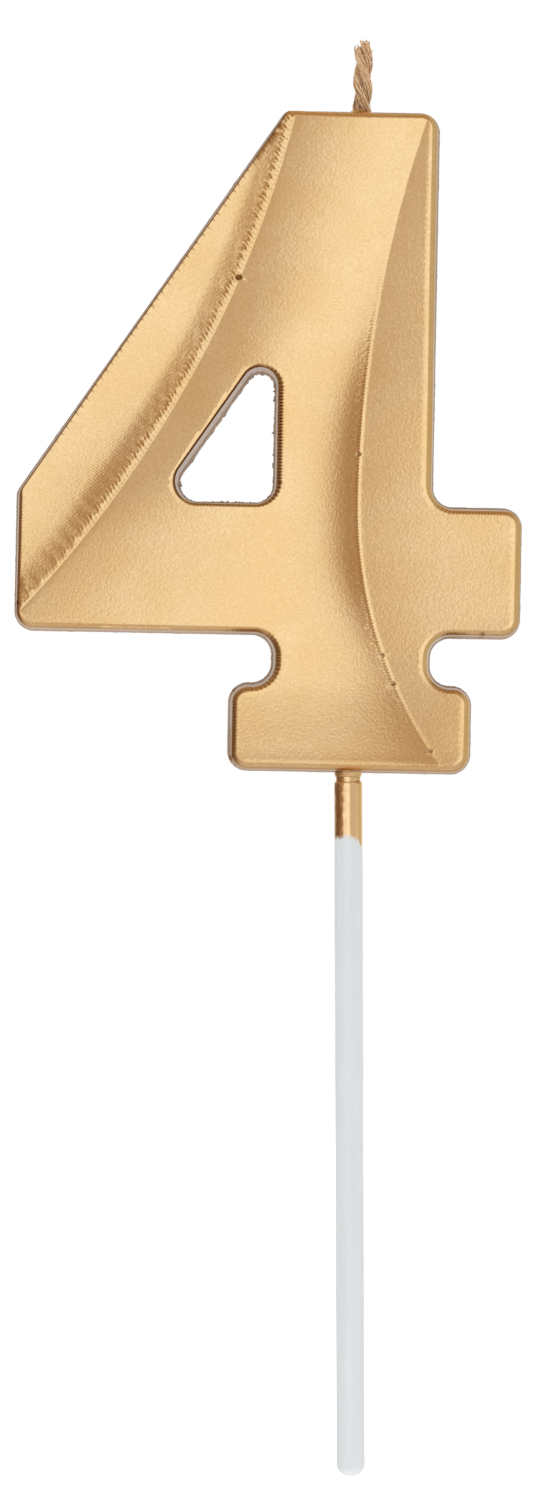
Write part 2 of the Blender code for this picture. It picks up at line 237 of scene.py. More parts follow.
def long_ridge(x, z):
    """Signed distance to the long ridge, positive to its right, its nearest point, and how far down.

    The last is the length of ridge from the height of its centre.
    """
    dx, dz = x - LONG_RIDGE_CENTRE[0], z - LONG_RIDGE_CENTRE[1]
    away = np.hypot(dx, dz)
    foot_x = LONG_RIDGE_CENTRE[0] + dx / away * LONG_RIDGE_R
    foot_z = LONG_RIDGE_CENTRE[1] + dz / away * LONG_RIDGE_R
    return away - LONG_RIDGE_R, foot_x, foot_z, -LONG_RIDGE_R * np.arctan2(dz, dx)


def stem_ridge(x, z):
    """The same for the ridge down the stem: two arcs that meet upright at its waist."""
    radius = np.where(z > STEM_WAIST[1], STEM_UPPER_R, STEM_LOWER_R)
    dx, dz = x - STEM_WAIST[0] - radius, z - STEM_WAIST[1]
    away = np.hypot(dx, dz)
    foot_x = STEM_WAIST[0] + radius + dx / away * radius
    foot_z = STEM_WAIST[1] + dz / away * radius
    return radius - away, foot_x, foot_z, radius * np.arctan2(dz, -dx)


def stem_flank(z):
    """How high the stem ridge stands above the hollow on its left, and how fast it falls away."""
    rise = 0.68 + 1.92 * smooth(z, 56.0, 34.0) - 0.3 * smooth(z, 30.0, 7.0)
    return rise, 4.7 + 2.9 * smooth(z, 22.0, 8.0)


def right_slope(z):
    """Slope of the stem ridge's right side at its crest."""
    return 0.16 + 0.10 * smooth(z, 48.0, 68.0) - 0.03 * smooth(z, 34.0, 22.0)


def middle_height(x, z):
    """The hollow between the two ridges."""
    long_d = np.maximum(long_ridge(x, z)[0], 0.0)
    stem_d = np.maximum(-stem_ridge(x, z)[0], 0.0)
    swell = 0.65 * smooth(z, 58.0, 46.0) + 0.3 * smooth(z, 48.0, 38.0)
    long_rise = 1.4 + swell - 0.35 * smooth(z, 36.0, 24.0)
    long_fade = LONG_FADE + 4.2 * smooth(z, 34.0, 22.0)
    stem_rise, stem_fade = stem_flank(z)
    valley = VALLEY - 0.5 * smooth(z, 13.0, 2.0)
    return valley + long_rise * np.exp(-long_d / long_fade) + stem_rise * np.exp(-stem_d / stem_fade)


def broad_height(x, z):
    """Half thickness of the wax without its tool marks."""
    long_d, long_x, long_z, _ = long_ridge(x, z)
    stem_d, stem_x, stem_z, _ = stem_ridge(x, z)
    crest = middle_height(stem_x, stem_z)
    left_fade = LONG_FADE - 2.7 * smooth(long_z, 24.0, 46.0)
    left_slope = 0.365 - 0.03 * smooth(long_z, 32.0, 50.0)
    drop = left_slope * left_fade * (1.0 - np.exp(np.minimum(long_d, 0.0) / left_fade))
    left = middle_height(long_x, long_z) - drop
    right_drop = right_slope(z) * RIGHT_FADE * (1.0 - np.exp(-np.maximum(stem_d, 0.0) / RIGHT_FADE))
    right = crest - right_drop
    height = np.where(long_d < 0.0, left, np.where(stem_d > 0.0, right, middle_height(x, z)))
    # A narrow flat along the stem ridge's crest.
    rise, fade = stem_flank(z)
    steep = np.maximum(rise / fade - CREST_TILT, 0.03)
    cut = CREST_WIDTH / (1.0 / steep + 1.0 / (right_slope(z) + CREST_TILT))
    flat = np.minimum(height, crest - cut + CREST_TILT * stem_d)
    height = np.where(np.abs(stem_d) < 4.0 * CREST_WIDTH, flat, height)
    return height - BASE_DROP * np.exp(-z / BASE_ROLL) - 0.17 * smooth(z, 9.5, 2.5)


def wobble(value, seed):
    """A smooth random line between -1 and 1, the same each run."""
    rng = np.random.default_rng(seed)
    total = np.zeros_like(value)
    for _ in range(6):
        rate, phase = rng.uniform(0.35, 4.5), rng.uniform(0.0, 6.28)
        total += np.sin(value * rate + phase)
    return total / 3.5


def marks(x, z):
    """Tool marks and flaws: height to add, and painted shade that darkens their cuts and hollows."""
    long_d, _, long_z, long_u = long_ridge(x, z)
    stem_d, _, stem_z, stem_u = stem_ridge(x, z)
    # A small bead runs along the long ridge's crest.
    height = BEAD_RISE * np.exp(-(((long_d - 0.02) / BEAD_WIDTH) ** 2))
    # A band like a laid rope stands on its left flank, cut by slanted slits.
    back = np.maximum(-long_d, 0.0)
    phase = (long_u + RIB_SLANT * back) / RIB_PITCH
    slit = np.maximum(-np.cos(2.0 * math.pi * phase), 0.0)
    slit *= smooth(back, 0.04, 0.30) * (0.85 + 0.3 * wobble(long_u * 2.3, SEED + 1))
    strength = smooth(long_z + 5.0 * wobble(long_u * 1.1, SEED + 5), 17.0, 30.0)
    reach = RIB_LENGTH + 0.13 * strength * wobble(long_u * 1.7, SEED) - 0.38 * (1.0 - strength)
    band = np.minimum(back, reach) * smooth(back, reach + 2.7, reach)
    slit = np.clip(slit, 0.0, 1.0) * smooth(back, reach + 1.7, reach)
    height += RIB_LIFT * band * (1.0 - slit * (0.17 + 0.23 * strength))
    # Painted shade darkens the slits between the ribs.
    painted_shade = 0.36 * slit * smooth(back, reach + 0.3, reach - 0.1)
    # Fine level ticks cut into the stem ridge's left flank.
    behind = np.maximum(-stem_d, 0.0)
    tick = np.maximum(np.cos(2.0 * math.pi * stem_u / TICK_PITCH), 0.0)
    reach = 0.5 + 0.12 * wobble(stem_u * 2.1, SEED + 2)
    span = smooth(stem_z, 2.0, 10.0) * smooth(stem_z, 58.0, 46.0)
    cut = span * tick * smooth(behind, 0.03, 0.15) * smooth(behind, reach + 0.1, reach - 0.1)
    height -= 0.05 * cut
    # Painted shade darkens the ticks' cuts.
    painted_shade += 0.35 * cut
    # The nicks and the pit are dented, and painted shade darkens their hollows.
    for place in NICKS:
        near = np.exp(-(((stem_z - place) / 0.16) ** 2) - ((stem_d + 0.12) / 0.24) ** 2)
        height -= 0.12 * near
        painted_shade += 0.9 * near
    near = np.exp(-((((x - PIT[0]) / 0.34) ** 2 + ((z - PIT[1]) / 0.25) ** 2) ** 2))
    height -= 0.34 * near
    painted_shade += 1.3 * near
    return height, np.clip(painted_shade, 0.0, 1.0)


# --- The wax figure --------------------------------------------------------------------------


def inside(points, loop):
    """Even-odd test of many points against one closed loop."""
    a = loop
    b = np.roll(loop, -1, axis=0)
    found = np.zeros(len(points), bool)
    for part in np.array_split(np.arange(len(points)), max(1, len(points) // 2000)):
        x, z = points[part, 0:1], points[part, 1:2]
        crosses = (a[:, 1] > z) != (b[:, 1] > z)
        with np.errstate(divide="ignore", invalid="ignore"):
            at = a[:, 0] + (b[:, 0] - a[:, 0]) * (z - a[:, 1]) / (b[:, 1] - a[:, 1])
        found[part] = (crosses & (x < at)).sum(1) % 2 == 1
    return found


def clearance(points, loop):
    """Distance from many points to one closed loop."""
    a = loop
    ab = np.roll(loop, -1, axis=0) - a
    found = np.empty(len(points))
    for part in np.array_split(np.arange(len(points)), max(1, len(points) // 2000)):
        ap = points[part, None, :] - a
        t = np.clip((ap * ab).sum(2) / (ab**2).sum(1), 0.0, 1.0)
        found[part] = np.hypot(*(ap - t[:, :, None] * ab).transpose(2, 0, 1)).min(1)
    return found


def ridge_rows():
    """Close rows of points along both ridges, in step with their ribs and ticks."""
    rows = []
    step = RIB_PITCH / 4.0
    first, last = (round(LONG_RIDGE_R * math.radians(a) / step) for a in (10.0, 50.0))
    along = np.arange(first, last) * step
    for d in LONG_ROWS:
        angle = -(along - RIB_SLANT * max(-d, 0.0)) / LONG_RIDGE_R
        reach = LONG_RIDGE_R + d
        x = LONG_RIDGE_CENTRE[0] + reach * np.cos(angle)
        rows.append(np.stack([x, LONG_RIDGE_CENTRE[1] + reach * np.sin(angle)], 1))
    step = TICK_PITCH / 3.0
    along = np.arange(round(-30.0 / step), round(43.0 / step)) * step
    radius = np.where(along > 0.0, STEM_UPPER_R, STEM_LOWER_R)
    for d in STEM_ROWS:
        angle = along / radius
        x = STEM_WAIST[0] + radius - (radius - d) * np.cos(angle)
        rows.append(np.stack([x, STEM_WAIST[1] + (radius - d) * np.sin(angle)], 1))
    return np.concatenate(rows)


def field_rows():
    """A staggered grid over the figure, clear of the ridges' own rows."""
    lift = FIELD_STEP * math.sqrt(0.75)
    rows, columns = int(HEIGHT / lift), int((TAB_END - ARM_END) / FIELD_STEP)
    row, column = np.meshgrid(np.arange(1, rows), np.arange(columns))
    x = ARM_END + (column + 0.5 * (row % 2)) * FIELD_STEP
    points = np.stack([x.ravel(), (row * lift).ravel()], 1)
    long_d, stem_d = long_ridge(*points.T)[0], stem_ridge(*points.T)[0]
    near = ((long_d > -1.2) & (long_d < 0.62)) | ((stem_d > -0.88) & (stem_d < 0.6))
    return points[~near]


def face_triangles(outer, window):
    """Triangulates one face. The first points are the two loops, in order."""
    ridge, field = ridge_rows(), field_rows()
    kept = [outer, window]
    for points, margin in ((ridge, 0.11), (field, 0.6 * FIELD_STEP)):
        points = points[inside(points, outer) & ~inside(points, window)]
        kept.append(points[(clearance(points, outer) > margin) & (clearance(points, window) > margin)])
    points = np.concatenate(kept)
    edges = []
    for first, count in ((0, len(outer)), (len(outer), len(window))):
        edges += [(first + i, first + (i + 1) % count) for i in range(count)]
    made = delaunay_2d_cdt([Vector(p) for p in points], edges, [], 0, 1e-6, True)
    source = np.array([ids[0] for ids in made[3]])
    triangles = source[np.array(made[2])]
    a, b, c = (points[triangles[:, i]] for i in range(3))
    area = np.abs((b[:, 0] - a[:, 0]) * (c[:, 1] - a[:, 1]) - (b[:, 1] - a[:, 1]) * (c[:, 0] - a[:, 0]))
    middle = (a + b + c) / 3.0
    good = (area > SLIVER) & inside(middle, outer) & ~inside(middle, window)
    return points, triangles[good]


# The edge's section from the face out: inset, depth below the face, share of the comb.
BEVEL_RINGS = (
    (1.25, 0.0, 0.07),
    (1.08, 0.012, 0.06),
    (1.00, 0.05, 0.055),
    (0.90, 0.15, 0.045),
    (0.74, 0.36, 0.03),
    (0.60, 0.56, 0.01),
    (0.52, 0.74, 0.0),
)
WALL_TOP = 0.50  # inset of a wall's top edge, in the widths that its style gives
WALL_FOOT = (0.16, 0.62)  # inset and half thickness where the wall meets the land
LAND_RINGS = ((0.03, 0.56), (0.0, 0.14))
COMB_CUT = 0.06  # how deep a tooth of the comb cuts the bevel
LIP_DEPTH, LIP_RISE = 0.012, 0.05  # the lip raised along edges that face right
STREAK_DEPTH, STREAK_RISE = 0.36, 0.22  # a shaved length of the arm's lower bevel
STREAK_X, STREAK_HALF = -22.7, 4.3
FLASH_ROUGH = (0.07, 0.28)  # how ragged the flash is round the outline and in the window
EDGE_CHIPS = ((13.75, 14.75), (-35.3, 17.2), (-12.5, 1.3), (-12.4, 8.6))  # dark knocks on the edges
# The wax cone's section: radius, height over the figure's top, share of its ragged lift.
COLLAR_RINGS = (
    (1.90, -0.62, 0.0),
    (1.60, -0.22, 0.0),
    (1.34, -0.06, 0.02),
    (1.14, 0.03, 0.08),
    (1.04, 0.10, 0.18),
    (0.92, 0.08, 0.16),
    (0.80, -0.62, 0.0),
)
COLLAR_STEPS = 48


def flash_reach(loop, rough, rng):
    """How far the thin ragged flash stands out at each point of a loop."""
    count = len(loop.points)
    spikes = rng.random(count) ** 5
    swell = 0.5 + 0.5 * wobble(np.arange(count) * 0.21, SEED + 7)
    return 0.02 + rough * (0.25 * rng.random(count) + spikes) * np.clip(swell, 0.05, 1.0)


def strip(near, far):
    """Quads between two closed rings, given as vertex numbers."""
    return np.stack([near, np.roll(near, -1), np.roll(far, -1), far], 1)


def wick_collar(first):
    """The low cone of wax drawn up round the foot of the wick. Its vertices are numbered from first."""
    angle = 2.0 * math.pi * np.arange(COLLAR_STEPS) / COLLAR_STEPS
    ragged = 0.5 + 0.3 * np.sin(3.0 * angle + 1.0) + 0.2 * np.sin(7.0 * angle)
    rings = []
    for radius, z, lift in COLLAR_RINGS:
        reach = radius + 0.35 * (radius > 1.4) * smooth(-np.cos(angle), 0.0, 1.0)
        top = HEIGHT + z + lift * ragged
        rings.append(np.stack([reach * np.cos(angle), reach * np.sin(angle), top], 1))
    numbers = first + np.arange(len(rings) * COLLAR_STEPS).reshape(len(rings), COLLAR_STEPS)
    faces = [strip(near, far) for near, far in zip(numbers, np.roll(numbers, -1, axis=0))]
    return np.concatenate(rings), np.concatenate(faces)


def bevel_start(loop):
    inset, _, comb = BEVEL_RINGS[0]
    return loop.inset(loop.wall + (inset - 0.5) * loop.bevel + comb * loop.tooth)


def edge_rings(loop, base_half):
    """Rings from the bevel to the parting land, each as points, painted shade and the share of the side
    colour.
    """
    underside = loop.normals[:, 1] < -0.9
    streak = underside * np.exp(-(((loop.points[:, 0] - STREAK_X) / STREAK_HALF) ** 8))
    facing_right = np.maximum(loop.normals[:, 0], 0.0)
    for inset, depth, comb in BEVEL_RINGS[1:]:
        ring = loop.inset(loop.wall + (inset - 0.5) * loop.bevel + comb * loop.tooth)
        raised = LIP_RISE * facing_right * (depth == LIP_DEPTH)
        raised += STREAK_RISE * streak * (depth == STREAK_DEPTH)
        half = base_half + raised - depth * loop.bevel - COMB_CUT * loop.tooth * (depth < 0.6)
        # Painted shade: the comb's notches are darkened strongly and the rest of a combed bevel a
        # little, and the foot of a bevel (all of a narrow bevel) as far as its style asks.
        comb_shade = np.where(loop.tooth > 0.0, 0.62, 0.12) * loop.comb * (0.04 < depth < 0.6)
        shade = np.maximum(comb_shade, loop.bevel_shade * ((depth > 0.5) | (loop.bevel < 0.5)))
        yield np.stack([ring[:, 0], -half, ring[:, 1]], 1), shade, 0.0
    wall_half = base_half - BEVEL_RINGS[-1][1] * loop.bevel - 0.05
    for inset, half in ((WALL_TOP, wall_half), WALL_FOOT, *LAND_RINGS):
        ring = loop.inset(inset * loop.wall / WALL_TOP)
        y = np.zeros(len(ring)) - half
        yield np.stack([ring[:, 0], y, ring[:, 1]], 1), np.zeros(len(ring)), 1.0


def front_half(loops):
    """The front of the figure up to its parting line.

    Returns points, painted shade, share of the side colour, triangles, quads, and each loop's last ring
    of vertex numbers.
    """
    points, triangles = face_triangles(*map(bevel_start, loops))
    mark, painted_shade = marks(*points.T)
    places = [np.stack([points[:, 0], -(broad_height(*points.T) + mark), points[:, 1]], 1)]
    shades, on_sides = [painted_shade], [np.zeros(len(points))]
    quads, last_rings = [], []
    first, total = 0, len(points)
    for loop in loops:
        count = len(loop.points)
        near = np.arange(first, first + count)
        for ring, shade, on_side in edge_rings(loop, broad_height(*points[near].T)):
            places.append(ring)
            shades.append(shade)
            on_sides.append(np.full(count, on_side))
            far = total + np.arange(count)
            quads.append(strip(near, far))
            near = far
            total += count
        last_rings.append(near)
        first += count
    front, shade, on_side = (np.concatenate(part) for part in (places, shades, on_sides))
    return front, shade, on_side, triangles, np.concatenate(quads), last_rings


def body_mesh():
    radii = [CORNER_R] * len(figure_corners())
    radii[figure_corners().index(TOP_LEFT_CORNER)] = TOP_LEFT_R
    loops = (Loop(figure_corners(), radii), Loop(window_corners(), WINDOW_RADII))
    front, shade, on_side, triangles, quads, last_rings = front_half(loops)
    for chip_x, chip_z in EDGE_CHIPS:
        away = np.hypot(front[:, 0] - chip_x, front[:, 2] - chip_z)
        shade = np.maximum(shade, smooth(away, 0.42, 0.18))
    # The back mirrors the front, and a ragged flash closes the parting line between them.
    n = len(front)
    rng = np.random.default_rng(SEED)
    flash = [loop.inset(-flash_reach(loop, rough, rng)) for loop, rough in zip(loops, FLASH_ROUGH)]
    faces = [quads, quads[:, ::-1] + n]
    first = 2 * n
    for near, ring in zip(last_rings, flash):
        own = first + np.arange(len(ring))
        faces += [strip(near, own), strip(own, near + n)]
        first += len(ring)
    flash = np.concatenate(flash)
    flash = np.stack([flash[:, 0], np.zeros(len(flash)), flash[:, 1]], 1)
    collar, collar_faces = wick_collar(first)
    points = np.concatenate([front, front * (1.0, -1.0, 1.0), flash, collar])
    tris = np.concatenate([triangles, triangles[:, ::-1] + n])
    quads = np.concatenate(faces + [collar_faces])
    mesh = bpy.data.meshes.new("wax_figure")
    mesh.from_pydata((points * MM).tolist(), [], tris.tolist() + quads.tolist())
    # Painted shade: the wax collar round the wick's foot is darkened a little.
    collar_shade = np.full(len(collar), 0.12)
    store(mesh, "shade", np.concatenate([shade, shade, np.zeros(len(flash)), collar_shade]))
    store(mesh, "on_side", np.concatenate([on_side, on_side, np.ones(len(flash)), np.zeros(len(collar))]))
    long_d, _, long_z, long_u = long_ridge(points[:, 0], points[:, 2])
    store(mesh, "along", long_u)
    lines = smooth(-long_d, 0.8, 2.5) * smooth(-long_d, 9.5, 6.0) * smooth(long_z, 64.0, 50.0)
    store(mesh, "lines", lines)
    bm = bmesh.new()
    bm.from_mesh(mesh)
    bmesh.ops.recalc_face_normals(bm, faces=bm.faces)
    bm.to_mesh(mesh)
    bm.free()
    mesh.shade_smooth()
    mesh.set_sharp_from_angle(angle=math.radians(50.0))
    return mesh


# --- Turned and wound pieces -----------------------------------------------------------------

PICK_LEAN = math.radians(1.3)
PICK_R = 1.49
PICK_LENGTH = -PICK_LOW.z / MM / math.cos(PICK_LEAN)
TIP_LENGTH = 1.24
ANCHOR_TOP, ANCHOR_R, RIB_R = 12.0, 0.95, 1.4
RIBS, ANCHOR_PITCH = 4, 2.6
STICK_TOP = -1.28
STRETCHES, TIP_STEPS, PICK_STEPS = 36, 12, 64
SEAM_ANGLES = (math.radians(-114.0), math.radians(66.0))  # the moulding's two faint seams
SEAM_RISE, SEAM_WIDTH = 0.03, 0.06
GROOVE_MIDDLE, GROOVE_SPREAD = -0.735, 0.13


def pick_profile():
    """Radius, height and painted shade down the pick: ribbed anchor, collar, neck, stick, rounded
    point.
    """
    profile = [(0.0, ANCHOR_TOP, 0.0), (0.8, ANCHOR_TOP, 0.0), (ANCHOR_R, ANCHOR_TOP - 0.15, 0.0)]
    for i in range(RIBS):
        top = ANCHOR_TOP - ANCHOR_PITCH * (i + 0.4)
        profile += [(ANCHOR_R, top, 0.0), (RIB_R, top - 0.7, 0.0)]
        profile += [(RIB_R, top - 1.2, 0.0), (ANCHOR_R, top - 1.9, 0.0)]
    # Painted shade: a dark band at the collar's top, under the wax.
    profile += [(ANCHOR_R, 0.34, 0.0), (1.0, 0.3, 0.0), (1.5, 0.3, 0.9), (1.55, 0.25, 0.9)]
    profile += [(1.55, 0.1, 0.6), (1.50, 0.0, 0.0), (1.46, -0.2, 0.0), (1.36, -0.44, 0.0)]
    profile.append((1.31, -0.52, 0.0))
    # Painted shade: dark lines along the edges of the neck's groove.
    profile += [(1.29, -0.56, 0.9), (1.29, -0.62, 0.0), (1.29, -0.82, 0.0), (1.30, -0.88, 0.9)]
    profile += [(1.33, -0.94, 0.0), (1.43, -1.02, 0.0), (1.48, -1.12, 0.0), (PICK_R, STICK_TOP, 0.0)]
    straight_end = TIP_LENGTH - PICK_LENGTH
    for i in range(1, STRETCHES + 1):
        profile.append((PICK_R, STICK_TOP + (straight_end - STICK_TOP) * i / STRETCHES, 0.0))
    for i in range(1, TIP_STEPS):
        angle = 0.5 * math.pi * i / TIP_STEPS
        profile.append((PICK_R * math.cos(angle), straight_end - TIP_LENGTH * math.sin(angle), 0.0))
    profile.append((0.0, -PICK_LENGTH, 0.0))
    return profile


def pick_point(radius, z, angle):
    """A point on the pick before it leans: not quite round, and with a faint seam on each side."""
    if z < -1.2:
        turns = [math.remainder(angle - a, 2.0 * math.pi) / SEAM_WIDTH for a in SEAM_ANGLES]
        seam = sum(math.exp(-(t**2)) for t in turns)
        radius += SEAM_RISE * seam + 0.010 * math.sin(0.31 * z + 2.0 * angle)
    if -1.0 < z < -0.4:
        # The neck's groove opens like a lens on the front and back.
        z += GROOVE_SPREAD * math.sin(angle) ** 2 * math.copysign(1.0, z - GROOVE_MIDDLE)
    return radius * math.cos(angle), radius * math.sin(angle), z


def pick_mesh():
    bm = bmesh.new()
    rings, shades = [], []
    for radius, z, shade in pick_profile():
        if radius == 0.0:
            ring = [(0.0, 0.0, z)]
        else:
            ring = [pick_point(radius, z, 2.0 * math.pi * k / PICK_STEPS) for k in range(PICK_STEPS)]
        rings.append([bm.verts.new(point) for point in ring])
        shades += [shade] * len(ring)
    for upper, lower in zip(rings, rings[1:]):
        for k in range(PICK_STEPS):
            j = (k + 1) % PICK_STEPS
            if len(upper) == 1:
                bm.faces.new((upper[0], lower[k], lower[j]))
            elif len(lower) == 1:
                bm.faces.new((upper[k], lower[0], upper[j]))
            else:
                bm.faces.new((upper[k], lower[k], lower[j], upper[j]))
    bmesh.ops.recalc_face_normals(bm, faces=bm.faces)
    mesh = bpy.data.meshes.new("cake_pick")
    bm.to_mesh(mesh)
    bm.free()
    store(mesh, "shade", shades)
    mesh.transform(Matrix.Rotation(-PICK_LEAN, 4, "Y") @ Matrix.Scale(MM, 4))
    mesh.shade_smooth()
    mesh.set_sharp_from_angle(angle=math.radians(40.0))
    return mesh


PLIES = 3
PLY_R = 0.4
CORE_R = 0.27  # a ply's core where its fibres cover it
PLY_ORBIT = 0.50
WICK_PITCH = 9.0
WICK_TOP = WICK_HIGH.z / MM
WICK_BOTTOM = WICK_LOW.z / MM
FIBRES, OUTER_FIBRES = 28, 18
OUTER_RING, INNER_RING = 0.42, 0.24
FIBRE_R = 0.068
FIBRE_START = 68.0
FIBRE_PITCH = 11.0
FRAY_LENGTH, FRAY_SPREAD = 1.9, 0.17
TUFT_DROPS = (0.95, 0.8, 0.25)  # how far below the wick's top each ply's tuft ends
HAIRS, HAIR_R = 34, 0.026  # short loose ones on the outside of a ply


def ply_centre(index, z):
    """The middle of one ply at each height. It wanders a little once it is out of the wax."""
    turns = (WICK_TOP - WICK_BOTTOM) / WICK_PITCH
    share = (z - WICK_BOTTOM) / (WICK_TOP - WICK_BOTTOM)
    angle = 2.0 * math.pi * (index / PLIES - turns * share) + 0.5
    shown = np.clip(z - HEIGHT + 2.0, 0.0, 12.0)
    wander = 0.08 + 0.014 * shown + 0.05 * np.sin(1.1 * z + 2.0 * index) * (shown > 0.0)
    return np.stack([PLY_ORBIT * np.cos(angle) + wander, PLY_ORBIT * np.sin(angle), z], -1)


def tube(points, radii, sides, first):
    """A tube round a path. Returns its vertices and faces, numbered from first."""
    along = np.gradient(points, axis=0)
    along /= np.linalg.norm(along, axis=1, keepdims=True)
    side = np.cross(along, (0.31, 0.95, 0.05))
    side /= np.linalg.norm(side, axis=1, keepdims=True)
    other = np.cross(along, side)
    verts, faces = [], []
    for k in range(sides):
        angle = 2.0 * math.pi * k / sides
        verts.append(points + (side * math.cos(angle) + other * math.sin(angle)) * radii[:, None])
    verts = np.stack(verts, 1).reshape(-1, 3)
    for i in range(len(points) - 1):
        for k in range(sides):
            j = (k + 1) % sides
            a, b = first + i * sides, first + (i + 1) * sides
            faces.append((a + k, a + j, b + j, b + k))
    faces.append(tuple(first + k for k in reversed(range(sides))))
    faces.append(tuple(first + (len(points) - 1) * sides + k for k in range(sides)))
    return verts, faces


def strand_mesh(index):
    """One ply: a plain core inside the wax and a bundle of fibres that frays at the top."""
    rng = np.random.default_rng(SEED + 20 + index)
    verts, faces, tints = [], [], []
    total = 0

    def add(points, radii, sides, tint):
        nonlocal total
        made, quads = tube(points, radii, sides, total)
        verts.append(made)
        faces.extend(quads)
        tints.append(np.full(len(made), tint))
        total += len(made)

    z = np.arange(WICK_BOTTOM, FIBRE_START + 8.6, 0.4)
    add(ply_centre(index, z), np.where(z > FIBRE_START, CORE_R, PLY_R), 10, 0.25)
    for j in range(FIBRES):
        outer = j < OUTER_FIBRES
        ring = OUTER_RING if outer else INNER_RING
        spread = 2.0 * math.pi * j / (OUTER_FIBRES if outer else FIBRES - OUTER_FIBRES)
        tip = WICK_TOP - TUFT_DROPS[index] - rng.uniform(0.0, 0.6)
        tip -= 0.5 if rng.random() < 0.25 else 0.0
        z = np.linspace(FIBRE_START, tip, 56)
        turn = spread - 2.0 * math.pi * (z - FIBRE_START) / FIBRE_PITCH
        turn += 0.35 * np.sin(z * rng.uniform(0.8, 1.8) + j)
        out = ring * (1.0 + 0.16 * np.sin(z * rng.uniform(1.0, 2.4) + rng.uniform(0.0, 6.0)))
        path = ply_centre(index, z)
        path[:, 0] += out * np.cos(turn)
        path[:, 1] += out * np.sin(turn)
        fray = np.clip((z - WICK_TOP + FRAY_LENGTH) / FRAY_LENGTH, 0.0, 1.0) ** 2
        path[:, 0] += fray * rng.normal(0.0, FRAY_SPREAD)
        path[:, 1] += fray * rng.normal(0.0, FRAY_SPREAD)
        radii = FIBRE_R * rng.uniform(0.7, 1.25) * (1.0 - 0.45 * fray)
        add(path, radii, 6, rng.random())
    for _ in range(HAIRS):
        start = rng.uniform(HEIGHT - 0.4, WICK_TOP - FRAY_LENGTH)
        t = np.linspace(0.0, 1.0, 8)
        z = start + t * rng.uniform(0.3, 1.2)
        path = ply_centre(index, z)
        away = path[:, :2] / np.linalg.norm(path[:, :2], axis=1, keepdims=True)
        path[:, :2] += away * (0.40 + rng.uniform(0.02, 0.16) * t[:, None] ** 2)
        side = np.stack([-away[:, 1], away[:, 0]], 1) * rng.normal(0.0, 0.3)
        path[:, :2] += side * t[:, None]
        add(path, HAIR_R * (1.0 - 0.5 * t), 4, rng.random())
    mesh = bpy.data.meshes.new(f"wick_strand_{index + 1}")
    mesh.from_pydata((np.concatenate(verts) * MM).tolist(), [], faces)
    store(mesh, "tint", np.concatenate(tints))
    mesh.shade_smooth()
    return mesh


# --- Materials -------------------------------------------------------------------------------


class Graph:
    """Short calls for building a node tree."""

    def __init__(self, tree):
        self.tree = tree

    def node(self, kind, inputs=(), **settings):
        made = self.tree.nodes.new(kind)
        for key, value in settings.items():
            setattr(made, key, value)
        for key, value in dict(inputs).items():
            self.put(made.inputs[key], value)
        return made

    def put(self, socket, value):
        if isinstance(value, bpy.types.NodeSocket):
            self.tree.links.new(value, socket)
        else:
            socket.default_value = value

    def math(self, operation, *values):
        return self.node("ShaderNodeMath", enumerate(values), operation=operation).outputs[0]

    def vector(self, operation, *values):
        made = self.node("ShaderNodeVectorMath", operation=operation)
        for i, value in enumerate(values):
            self.put(made.inputs[3] if operation == "SCALE" and i == 1 else made.inputs[i], value)
        return made.outputs[1] if operation == "DOT_PRODUCT" else made.outputs[0]

    def noise(self, place, scale, detail=2.0, rough=0.5):
        inputs = {"Vector": place, "Scale": scale, "Detail": detail, "Roughness": rough}
        return self.node("ShaderNodeTexNoise", inputs).outputs["Fac"]

    def ramp(self, value, low, high, to_low=0.0, to_high=1.0):
        inputs = {0: value, 1: low, 2: high, 3: to_low, 4: to_high}
        return self.node("ShaderNodeMapRange", inputs, interpolation_type="SMOOTHSTEP").outputs[0]

    def mix(self, share, a, b):
        inputs = {0: share, 6: a, 7: b}
        return self.node("ShaderNodeMix", inputs, data_type="RGBA").outputs[2]

    def value(self, name):
        return self.node("ShaderNodeAttribute", attribute_name=name).outputs["Fac"]

    def bump(self, height, distance, normal=None):
        inputs = {"Height": height, "Distance": distance, "Strength": 1.0}
        if normal is not None:
            inputs["Normal"] = normal
        return self.node("ShaderNodeBump", inputs).outputs[0]

    def place(self):
        """The point on the object in millimetres."""
        coordinates = self.node("ShaderNodeTexCoord").outputs["Object"]
        return self.vector("SCALE", coordinates, 1.0 / MM)


def new_material(name):
    material = bpy.data.materials.new(name)
    material.use_nodes = True
    return material, Graph(material.node_tree), material.node_tree.nodes["Principled BSDF"]


GOLD_PALE = (0.975, 0.69, 0.34, 1.0)
GOLD_DEEP = (0.95, 0.64, 0.285, 1.0)
GOLD_SPECK = (0.78, 0.50, 0.20, 1.0)
GOLD_MOTTLE = (0.66, 0.38, 0.16, 1.0)
# the colour that painted shade and the dark knocks mix towards
GOLD_DARK = (0.30, 0.155, 0.06, 1.0)
GOLD_SIDE = (0.46, 0.34, 0.25, 1.0)  # the paler, greyer colour of the walls, land and flash
COTTON_PALE = (0.95, 0.64, 0.35, 1.0)
COTTON_DEEP = (0.52, 0.24, 0.08, 1.0)
COTTON_HIGHLIGHT = (1.0, 0.82, 0.56, 1.0)
PLASTIC_DEEP = (0.665, 0.690, 0.700, 1.0)
PLASTIC_PALE = (0.755, 0.775, 0.782, 1.0)
TOOTH_PITCH = 0.92
LINE_PITCH, LINE_RISE = 0.3, 0.0038  # cutter lines across the long ridge's left side


